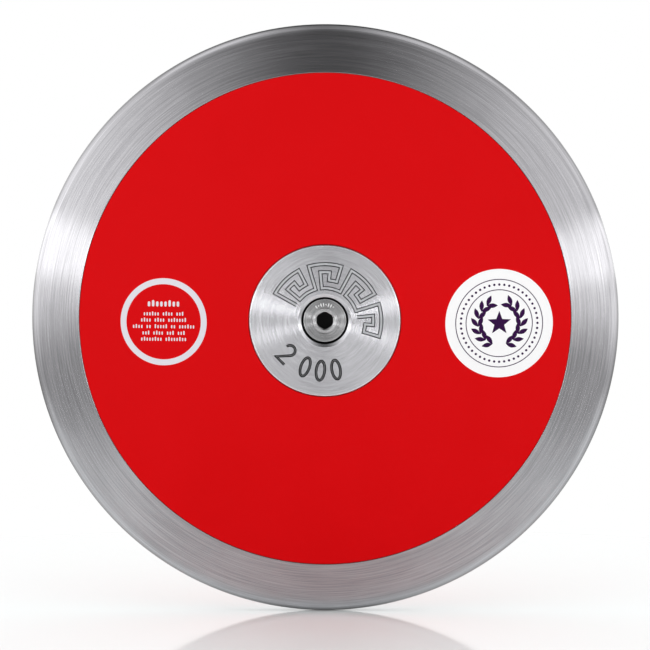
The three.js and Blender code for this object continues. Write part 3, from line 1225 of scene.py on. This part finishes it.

# %% [markdown]
# ## The bolt and the sleeve nut
# The bolt's shank screws into the nut's barrel inside the disc. Each piece is one grid, from the tip of
# its socket over the head and down its tail to the axis. The socket's rows take a near black that is
# painted shade.

# %% The bolt and the nut
BOLT_TIP = -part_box("centre_bolt")[1][Y]
NUT_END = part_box("sleeve_nut")[0][Y]
HEAD_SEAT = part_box("rear_lock_washer")[1][Y]
SHOULDER_RADIUS = 6 * MM
SHOULDER_END = FLOOR_HEIGHT - 2 * MM
THREAD_RADIUS = 4 * MM
THREAD_BORE = 4.15 * MM
THREAD_BEVEL = 0.8 * MM
NUT_BORE_FLOOR = 10 * MM
SOCKET_ROWS = range(5)


def headed(side, tail):
    """Socket, flat, dome and side of the head, then the tail's outline back to the axis."""
    edge = [
        (HEAD_RADIUS, HEAD_TOP - HEAD_DOME - HEAD_BEVEL),
        (HEAD_RADIUS, HEAD_SEAT),
        (SHOULDER_RADIUS, HEAD_SEAT),
    ]
    outline = np.concatenate([head_face(), edge, tail])
    return np.concatenate([socket_surface(side), turned(outline, side, HEAD_SEGMENTS)])


def headed_piece(name, side, tail, node):
    # The socket's rows get painted shade.
    materials = [bolt_metal, painted_recess_shade]
    return make_piece(name, [headed(side, tail)], materials, [node], SOCKET_ROWS)


bolt_tail = [
    (SHOULDER_RADIUS, SHOULDER_END),
    (THREAD_RADIUS, SHOULDER_END),
    (THREAD_RADIUS, BOLT_TIP + THREAD_BEVEL),
    (THREAD_RADIUS - THREAD_BEVEL, BOLT_TIP),
    (0, BOLT_TIP),
]
nut_tail = [
    (SHOULDER_RADIUS, NUT_END),
    (THREAD_BORE + THREAD_BEVEL, NUT_END),
    (THREAD_BORE, NUT_END + THREAD_BEVEL),
    (THREAD_BORE, NUT_BORE_FLOOR),
    (0, NUT_BORE_FLOOR),
]
front_bolt = headed_piece("front_bolt_turned", FRONT, bolt_tail, "centre_bolt")
headed_piece("rear_nut_turned", REAR, nut_tail, "sleeve_nut")

# %% [markdown]
# ## Tallies on the bolt
# A row of plain strokes is punched into the upper side of the bolt's head, every third one short. They
# are cut like the marks on the plate, only smaller and with steeper walls.

# %% Tallies on the bolt
TALLY_COUNT = 8
SHORT_EVERY = 3
TALLY_ARC = (122, 58)
TALLY_RADIUS = 5.85 * MM
TALLY_DEPTH = 0.16 * MM
TALLY_WIDTH = 0.56 * MM
TALLY_WALL = 0.08 * MM
LONG_TALLY = 1.15 * MM
SHORT_TALLY = 0.45 * MM


def tally_strokes():
    """Radial strokes, evenly spread over an arc of the head."""
    strokes = []
    for index, way in enumerate(np.radians(np.linspace(*TALLY_ARC, TALLY_COUNT))):
        half = (SHORT_TALLY if index % SHORT_EVERY == 1 else LONG_TALLY) / 2
        out = np.array([math.cos(way), math.sin(way)])
        path = [out * (TALLY_RADIUS - half), out * TALLY_RADIUS, out * (TALLY_RADIUS + half)]
        strokes.append(stroke(path, TALLY_WIDTH, TALLY_DEPTH, face=HEAD_TOP, wall_run=TALLY_WALL))
    return strokes


engrave(front_bolt, tally_strokes(), tally_metal)

# %% [markdown]
# ## Laying print on the cone
# Two round marks sit on the front plate: a white printed ring on the left and a white film label on the
# right. Both are drawn flat and then laid on the cone, by giving each point the cone's height plus the
# thickness of what is printed. A Shrinkwrap modifier would do the same by searching for the surface, but
# the cone has a formula, and with it each layer lies exactly above the one below.

# %% Laying print on the cone
FILM_THICKNESS = 0.08 * MM
INK_THICKNESS = 0.03 * MM
SINK = 0.02 * MM
LARGE_CIRCLE_POINTS = 180


def on_cone(flat, centre, lift):
    """Points drawn round a centre, laid on the front cone at face height plus lift."""
    x = centre[0] + flat[..., 0]
    z = centre[1] + flat[..., 1]
    return np.stack([x, -(face_height(np.hypot(x, z)) + lift), z], axis=-1)


def circle_line(radius, points):
    """A flat circle round the origin."""
    turn = np.linspace(0, 2 * math.pi, points, endpoint=False)
    return np.stack([np.cos(turn), np.sin(turn)], axis=-1) * radius


def patch(outline, middle, centre, low, high, rings):
    """A thin closed shape: its outline shrunk in equal steps to its middle, above and below."""
    share = np.linspace(0, 1, rings + 1)[:, None, None]
    flat = middle + share * (np.asarray(outline) - middle)
    return np.concatenate([on_cone(flat, centre, high), on_cone(flat[::-1], centre, low)])


def band(inner, outer, centre, low, high):
    """A thin ring: two circles above and two below."""
    sheets = [(inner, low), (inner, high), (outer, high), (outer, low)]
    return np.stack(
        [on_cone(circle_line(radius, LARGE_CIRCLE_POINTS), centre, lift) for radius, lift in sheets]
    )


print("ink above the cone, in millimetres:", round(INK_THICKNESS / MM, 2))

# %% [markdown]
# ## The printed ring
# The mark on the left is printed straight on to the plastic in white ink, and stands up by the thickness
# of the ink alone. Its ring holds rows of upright ticks in groups of two to eight, some a little taller,
# as plain as a test pattern.

# %% The printed ring
RING_CENTRE = (-59.8 * MM, -0.7 * MM)
RING_OUTER = 16.15 * MM
RING_INNER = 13.95 * MM
LARGE_PITCH = 1.55 * MM
LARGE_WIDTH = 0.95 * MM
LARGE_HEIGHT = 1.9 * MM
LARGE_UP = 6.6 * MM
LARGE_GROUPS = (8,)
SMALL_PITCH = 1.02 * MM
SMALL_WIDTH = 0.52 * MM
SMALL_HEIGHT = 1.2 * MM
SMALL_ROWS = {
    2.9 * MM: (6, 4, 3),
    0.6 * MM: (4, 4, 7),
    -1.8 * MM: (4, 2, 5, 2, 6),
    -4.2 * MM: (3, 4, 3, 3),
    -6.5 * MM: (8, 8),
}
TALL_EVERY = 4
TALL_GAIN = 1.25
TICK_POINTS = 24
SIDE_DIGITS = 9


def tick_line(length, width):
    """An upright bar with round ends: a small circle whose upper and lower halves are moved apart.

    The sign of a coordinate tells the halves apart, rounded so that the points between them stay.
    """
    line = circle_line(width / 2, TICK_POINTS)
    line[:, 0] += np.sign(np.round(line[:, 0], SIDE_DIGITS)) * (length - width) / 2
    return line[:, ::-1]


def tick_row(up, pitch, width, height, groups):
    """One centred row of upright ticks, a pitch apart, with a gap of one tick between groups.

    About one tick in four stands taller, upwards from the foot of the row.
    """
    count = sum(groups) + len(groups) - 1
    ticks, step = [], 0
    for group in groups:
        for index in range(group):
            tall = height * (TALL_GAIN if (index + group) % TALL_EVERY == 1 else 1.0)
            middle = np.array([(step - (count - 1) / 2) * pitch, up + (tall - height) / 2])
            outline = tick_line(tall, width) + middle
            ticks.append(patch(outline, middle, RING_CENTRE, -SINK, INK_THICKNESS, 1))
            step += 1
        step += 1
    return ticks


printed_ring = [band(RING_INNER, RING_OUTER, RING_CENTRE, -SINK, INK_THICKNESS)]
printed_ring += tick_row(LARGE_UP, LARGE_PITCH, LARGE_WIDTH, LARGE_HEIGHT, LARGE_GROUPS)
for up, groups in SMALL_ROWS.items():
    printed_ring += tick_row(up, SMALL_PITCH, SMALL_WIDTH, SMALL_HEIGHT, groups)
make_piece("printed_ring", printed_ring, [white_ink])

# %% [markdown]
# ## The film label
# The mark on the right is a disc of white film. It follows the cone, so it needs rings of points from
# its middle to its edge, where a flat label would need none. Its print has two fine circles with a row
# of dots between them.

# %% The film label
LABEL_CENTRE = (64.6 * MM, -1.23 * MM)
LABEL_RADIUS = 20.1 * MM
FILM_RINGS = 14
PRINT_LOW = FILM_THICKNESS - SINK / 2
PRINT_HIGH = FILM_THICKNESS + SINK
LABEL_CIRCLES = [16.25 * MM, 12.4 * MM]
FINE_LINE = 0.32 * MM
DOT_COUNT = 48
DOT_RADIUS = 0.45 * MM
DOT_POINTS = 12


def label_patch(outline, middle, rings=1):
    """A printed shape on the film."""
    return patch(outline, middle, LABEL_CENTRE, PRINT_LOW, PRINT_HIGH, rings)


def dotted_rings():
    """Two circles in a fine line, and dots on the circle midway between them."""
    half = FINE_LINE / 2
    surfaces = [
        band(radius - half, radius + half, LABEL_CENTRE, PRINT_LOW, PRINT_HIGH)
        for radius in LABEL_CIRCLES
    ]
    middle_radius = sum(LABEL_CIRCLES) / 2
    for turn in np.arange(DOT_COUNT) * 2 * math.pi / DOT_COUNT:
        middle = np.array([math.cos(turn), math.sin(turn)]) * middle_radius
        surfaces.append(label_patch(circle_line(DOT_RADIUS, DOT_POINTS) + middle, middle))
    return surfaces


film_edge = circle_line(LABEL_RADIUS, LARGE_CIRCLE_POINTS)
film = patch(film_edge, np.zeros(2), LABEL_CENTRE, -SINK, FILM_THICKNESS, FILM_RINGS)
make_piece("film_label", [film], [white_film])

# %% [markdown]
# ## Wreath and star
# A plain wreath round a star fills the label. One leaf is drawn once and then turned and moved to its
# place, in pairs that climb both sides of a circle. All the print on the film shares one purple ink, so
# it is one piece.

# %% Wreath and star
LEAF_COUNT = 7
LEAF_LENGTH = 4.2 * MM
LEAF_WIDTH = 1.7 * MM
LEAF_SIDE_POINTS = 12
LEAF_SPREADS = (-34, 30)
WREATH_RADIUS = 8.0 * MM
WREATH_START = 18
WREATH_STEP = 21
STAR_RADIUS = 4.6 * MM
STAR_WAIST = 0.42
STAR_POINTS = 5
STAR_RINGS = 2


def leaf_line():
    """A leaf: its half width is that of a sine over its length, pointed at both ends."""
    share = np.linspace(0, 1, LEAF_SIDE_POINTS, endpoint=False)
    width = np.sin(math.pi * share) * LEAF_WIDTH / 2
    upper = np.stack([share * LEAF_LENGTH, width], axis=-1)
    lower = np.stack([(1 - share) * LEAF_LENGTH, -width], axis=-1)
    return np.concatenate([upper, lower])


def turned_flat(line, angle):
    """A flat line turned round the origin."""
    cosine, sine = math.cos(angle), math.sin(angle)
    return line @ np.array([[cosine, sine], [-sine, cosine]])


def wreath():
    """Pairs of leaves up both sides of a circle, each pair spread from the circle's own direction."""
    surfaces = []
    for hand in (1, -1):
        for index in range(LEAF_COUNT):
            place = math.radians(-90 + hand * (WREATH_START + index * WREATH_STEP))
            root = np.array([math.cos(place), math.sin(place)]) * WREATH_RADIUS
            for spread in LEAF_SPREADS:
                lean = place + hand * math.radians(90) + math.radians(spread)
                line = turned_flat(leaf_line(), lean) + root
                surfaces.append(label_patch(line, line.mean(axis=0)))
    return surfaces


def star():
    """The radius swaps between the points' and the waist's, at equal steps of the turn."""
    corner = np.arange(2 * STAR_POINTS)
    turn = np.radians(90 + corner * 180 / STAR_POINTS)
    radius = np.where(corner % 2, STAR_RADIUS * STAR_WAIST, STAR_RADIUS)
    return np.stack([np.cos(turn), np.sin(turn)], axis=-1) * radius[:, None]


star_patch = label_patch(star(), np.zeros(2), STAR_RINGS)
make_piece("film_label_print", [*dotted_rings(), star_patch, *wreath()], [purple_ink])

# %% [markdown]
# ## Inside the disc
# The tube, the weights, the washers and the rubber rings keep their solids from the frame, because plain
# rings need no finer surface. They only get the finishes of plated steel and of rubber.

# %% Inner pieces
INNER_FINISHES = {
    "cushion": rubber,
    "seal": rubber,
    "weight": plating,
    "washer": plating,
    "tube": plating,
}
for node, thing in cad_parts.items():
    for word, finish in INNER_FINISHES.items():
        if word in node:
            thing.data.materials.clear()
            thing.data.materials.append(finish)
            print(node, "is", finish.name)

# %% [markdown]
# ## The table
# The disc stands on its edge on a glossy white table in a white room. A glossy floor seen at such a low
# angle mirrors what stands on it, so the table is a real dielectric and the mirror image needs no trick.
# Its low index keeps the image faint except near grazing. Towards its edge the table fades out, so no
# line shows where it ends.

# %% The table
WHITE = (1, 1, 1, 1)
FLOOR_RADIUS = 0.5
FLOOR_POINTS = 128
FLOOR_TOP = -OUTER_RADIUS
FADE_START = 0.12
FADE_END = 0.44
TABLE_GLOW = 0.10
TABLE_INDEX = 1.25
TABLE_PATCH_SCALE = 3


def seen_directly(tree):
    """One for the rays that show a background: camera, glossy and clear ones."""
    path = add_node(tree, "ShaderNodeLightPath").outputs
    seen = math_node(tree, "MAXIMUM", path["Is Camera Ray"], path["Is Glossy Ray"])
    return math_node(tree, "MAXIMUM", seen, path["Is Transmission Ray"])


def make_table():
    """A round table top with soft patches in its gloss, which fades out by its Alpha."""
    mesh = bpy.data.meshes.new("studio_floor")
    edge = circle_line(FLOOR_RADIUS, FLOOR_POINTS)
    corners = np.column_stack([edge, np.full(FLOOR_POINTS, FLOOR_TOP)])
    mesh.from_pydata(corners.tolist(), [], [range(FLOOR_POINTS)])
    material, tree, shader, place = new_material("white_table")
    patches = use_group(tree, SOFT_PATCHES, {"Position": place, "Scale": TABLE_PATCH_SCALE})
    away = flattened(tree, place, ACROSS_THE_FLOOR)[1]
    connect(
        tree,
        shader,
        {
            "Base Color": mixed(tree, patches, (0.925, 0.965, 0.962), (0.945, 0.980, 0.977)),
            "Roughness": scaled(tree, patches, 0.06, 0.09),
            "IOR": TABLE_INDEX,
            "Emission Color": WHITE,
            "Emission Strength": scaled(tree, seen_directly(tree), 0.0, TABLE_GLOW),
            "Alpha": ramp(tree, away, FADE_START, FADE_END, 1.0, 0.0),
        },
    )
    mesh.materials.append(material)
    add_object("studio_floor", mesh)


make_table()
print("table top at, in millimetres:", round(FLOOR_TOP / MM, 2))

# %% [markdown]
# ## What the metal mirrors
# Bare metal has hardly any colour of its own and shows the room. So the room is a large sphere that
# only reflections see, and its glow depends on the direction: bright walls, a dark flag overhead, less
# light just below the horizon, and a ceiling that is brighter behind the disc. A photographed room
# would light it too, but here each part can be moved on its own.

# %% Walls and ceiling
SIDE_GLOW = 1.33
LOW_GLOW = 0.44
DEEP_GLOW = 0.80
FLAG_GLOW = 0.12
DEEP_START = math.radians(-85)
DEEP_END = math.radians(-30)
LOW_START = math.radians(-15)
LOW_END = math.radians(2)
FLAG_START = math.radians(22)
FLAG_END = math.radians(89)
LEFT_EXTRA = 0.14
RIGHT_EXTRA = 0.10
CEILING_START = 0.55
CEILING_END = 0.85
CEILING_FRONT = 0.45
CEILING_BACK = 1.2
CEILING_TURN = (-0.22, 0.12)
CEILING_MIDDLE = 0.3
CEILING_SPREAD = 0.36


def ceiling_glow(tree, way, sideways):
    """A bright ceiling, brighter behind than in front and dimmer in its middle."""
    front, back = CEILING_TURN
    ceiling = ramp(tree, way["Z"], CEILING_START, CEILING_END, 0.0, 1.0)
    behind = ramp(tree, way["Y"], front, back, CEILING_FRONT, CEILING_BACK)
    outer = ramp(tree, sideways, 0.0, CEILING_SPREAD, CEILING_MIDDLE, 1.0)
    return math_node(tree, "MULTIPLY", math_node(tree, "MULTIPLY", ceiling, behind), outer)


def wall_glow(tree, way, sideways, climb):
    """Walls that darken towards the flag and just below the horizon, and differ left from right."""
    walls = ramp(tree, climb, FLAG_START, FLAG_END, SIDE_GLOW, FLAG_GLOW)
    walls = math_node(tree, "MAXIMUM", walls, ceiling_glow(tree, way, sideways))
    low = ramp(tree, climb, LOW_START, LOW_END, LOW_GLOW, 1.0)
    low = math_node(tree, "ADD", low, ramp(tree, climb, DEEP_START, DEEP_END, DEEP_GLOW, 0.0))
    lean = ramp(tree, climb, LOW_START, FLAG_START, RIGHT_EXTRA, -LEFT_EXTRA)
    lean = math_node(tree, "MULTIPLY_ADD", way["X"], lean, 1.0)
    return math_node(tree, "MULTIPLY", math_node(tree, "MULTIPLY", walls, low), lean)


print("walls glow by", SIDE_GLOW, "and the flag by", FLAG_GLOW)

# %% [markdown]
# ## The long lights
# A long light hangs at either side of the room, and the grooves of the metal draw it out into the bright
# wedges. Its brightness changes along its length, because the rim, whose face leans outwards, sees
# another part of it than the flat middle does.

# %% The long lights
MIRROR_DROP = 0.042
STRIP_LOW = math.radians(8.7)
STRIP_HIGH = math.radians(20.7)
STRIP_SOFTNESS = math.radians(2.6)
STRIP_SOFT_END = 0.03
STRIP_PARTS = [(0.06, 0.27, 6.0), (0.27, 0.71, 0.84), (0.71, 0.95, 1.0)]


def window(tree, value, low, high, softness):
    """One between low and high, and zero outside, with soft ends."""
    rise = ramp(tree, value, low - softness, low + softness, 0, 1)
    fall = ramp(tree, value, high - softness, high + softness, 1, 0)
    return math_node(tree, "MULTIPLY", rise, fall)


def strip_glow(tree, sideways, raised):
    """How wide the light looks, and how bright each part along it.

    Its width is an angle at the point that the flat face mirrors, a little below the horizontal. A
    part is a start, an end and a glow, on a scale from 0 in the middle to 1 straight to the side.
    """
    above_mirror = math_node(tree, "ADD", raised, MIRROR_DROP)
    spread = math_node(tree, "ARCTAN2", above_mirror, sideways)
    wedge = window(tree, spread, STRIP_LOW, STRIP_HIGH, STRIP_SOFTNESS)
    strip = 0.0
    for start, end, glow in STRIP_PARTS:
        part = window(tree, sideways, start, end, STRIP_SOFT_END)
        strip = math_node(tree, "MULTIPLY_ADD", part, glow, strip)
    return wedge, strip


print("parts of a long light:", len(STRIP_PARTS))

# %% [markdown]
# ## The room
# Now the parts are put together on the inside of the sphere. Neither the camera nor the plain colours
# see it. Straight behind the disc it turns white, like the backdrop.

# %% The room
ROOM_RADIUS = 5.0
ROOM_SEGMENTS = 64
ROOM_TILT = 0.004
BACKDROP_START = 0.95
BACKDROP_END = 0.99


def room_glow(tree):
    """The glow in each direction.

    The climb is the angle above the horizontal seen along the disc's axis, from 0 at either side to
    90 degrees overhead.
    """
    place = add_node(tree, "ShaderNodeTexCoord").outputs["Object"]
    way = parted(tree, vector_node(tree, "NORMALIZE", place)["Vector"])
    sideways = math_node(tree, "ABSOLUTE", way["X"])
    raised = math_node(tree, "MULTIPLY_ADD", way["X"], ROOM_TILT, way["Z"])
    climb = math_node(tree, "ARCTAN2", raised, sideways)
    wedge, strip = strip_glow(tree, sideways, raised)
    glow = math_node(tree, "MULTIPLY_ADD", wedge, strip, wall_glow(tree, way, sideways, climb))
    backdrop = ramp(tree, way["Y"], BACKDROP_START, BACKDROP_END, 0.0, 1.0)
    to_white = math_node(tree, "SUBTRACT", 1.0, glow)
    return math_node(tree, "MULTIPLY_ADD", backdrop, to_white, glow)


def make_room():
    """A sphere that glows inwards and is seen by reflections alone."""
    mesh = bpy.data.meshes.new("studio_room")
    form = bmesh.new()
    bmesh.ops.create_uvsphere(
        form, u_segments=ROOM_SEGMENTS, v_segments=ROOM_SEGMENTS // 2, radius=ROOM_RADIUS
    )
    form.to_mesh(mesh)
    form.free()
    material = bpy.data.materials.new("room_glow")
    material.use_nodes = True
    tree = material.node_tree
    tree.nodes.clear()
    shine = add_node(tree, "ShaderNodeEmission", {"Color": WHITE, "Strength": room_glow(tree)})
    add_node(tree, "ShaderNodeOutputMaterial", {"Surface": shine.outputs[0]})
    mesh.materials.append(material)
    room = add_object("studio_room", mesh)
    room.visible_camera = False
    room.visible_diffuse = False
    room.visible_shadow = False
    print("nodes in the room's glow:", len(tree.nodes))


make_room()

# %% [markdown]
# ## World and lamps
# The world lights the plain colours evenly, as a white tent does, and is the white that the camera sees
# behind the disc. Two soft lamps in front add a little shape to the red plastic. Reflections leave them
# out, because the metal already has its room.

# %% World and lamps
WORLD_LIGHT = 0.88
LAMP_POWER = 3.6
LAMP_SIZE = 0.9
LAMP_SIDE = 1.2
LAMP_FRONT = -1.5
LAMP_UP = 0.12


def make_world():
    """White where the camera and clear or glossy rays look, a little softer as a light."""
    world = bpy.data.worlds.new("white_room")
    bpy.context.scene.world = world
    world.use_nodes = True
    tree = world.node_tree
    background = tree.nodes["Background"]
    background.inputs["Color"].default_value = WHITE
    strength = scaled(tree, seen_directly(tree), WORLD_LIGHT, 1.0)
    tree.links.new(strength, background.inputs["Strength"])


def make_lamp(name, place):
    """A square lamp that looks at the disc's centre."""
    lamp = bpy.data.lights.new(name, "AREA")
    lamp.shape = "SQUARE"
    lamp.size = LAMP_SIZE
    lamp.energy = LAMP_POWER
    lamp_object = add_object(name, lamp)
    lamp_object.location = place
    lamp_object.rotation_euler = (-Vector(place)).to_track_quat("-Z", "Y").to_euler()
    lamp_object.visible_camera = False
    lamp_object.visible_glossy = False
    print(name, "at", place)


make_world()
make_lamp("lamp_left", (-LAMP_SIDE, LAMP_FRONT, LAMP_UP))
make_lamp("lamp_right", (LAMP_SIDE, LAMP_FRONT, LAMP_UP))

# %% [markdown]
# ## The camera
# The camera looks from a little above, on a long lens. Its distance is a guess that fits how much larger
# the hub looks than the rim, and the lens follows from it: the disc's radius has to cover as many pixels
# as in the photograph. The aim point moves the disc's centre to its place in the frame.

# %% The camera
IMAGE_PIXELS = 650
DISC_RADIUS_PIXELS = 293.1
DISC_CENTRE_PIXELS = (325.2, 318.2)
CAMERA_DISTANCE = 1.2
CAMERA_ELEVATION = math.radians(2.5)
CAMERA_AZIMUTH = math.radians(0.4)
SENSOR_WIDTH = 36.0


def make_camera():
    """Aims the camera beside and above the disc's centre by the centre's own offset in the picture."""
    metres_per_pixel = OUTER_RADIUS / DISC_RADIUS_PIXELS
    frame_width = IMAGE_PIXELS * metres_per_pixel
    right = (DISC_CENTRE_PIXELS[0] - IMAGE_PIXELS / 2) * metres_per_pixel
    up = (IMAGE_PIXELS / 2 - DISC_CENTRE_PIXELS[1]) * metres_per_pixel
    aim = Vector((-right, 0, -up / math.cos(CAMERA_ELEVATION)))
    back = Vector(
        (
            math.sin(CAMERA_AZIMUTH) * math.cos(CAMERA_ELEVATION),
            -math.cos(CAMERA_AZIMUTH) * math.cos(CAMERA_ELEVATION),
            math.sin(CAMERA_ELEVATION),
        )
    )
    data = bpy.data.cameras.new("photo_camera")
    data.sensor_width = SENSOR_WIDTH
    data.lens = SENSOR_WIDTH * CAMERA_DISTANCE / frame_width
    camera = add_object("photo_camera", data)
    camera.location = aim + back * CAMERA_DISTANCE
    camera.rotation_euler = (-back).to_track_quat("-Z", "Y").to_euler()
    bpy.context.scene.camera = camera
    print("lens in millimetres:", round(data.lens, 1))


make_camera()
bpy.context.scene.view_settings.view_transform = "Standard"
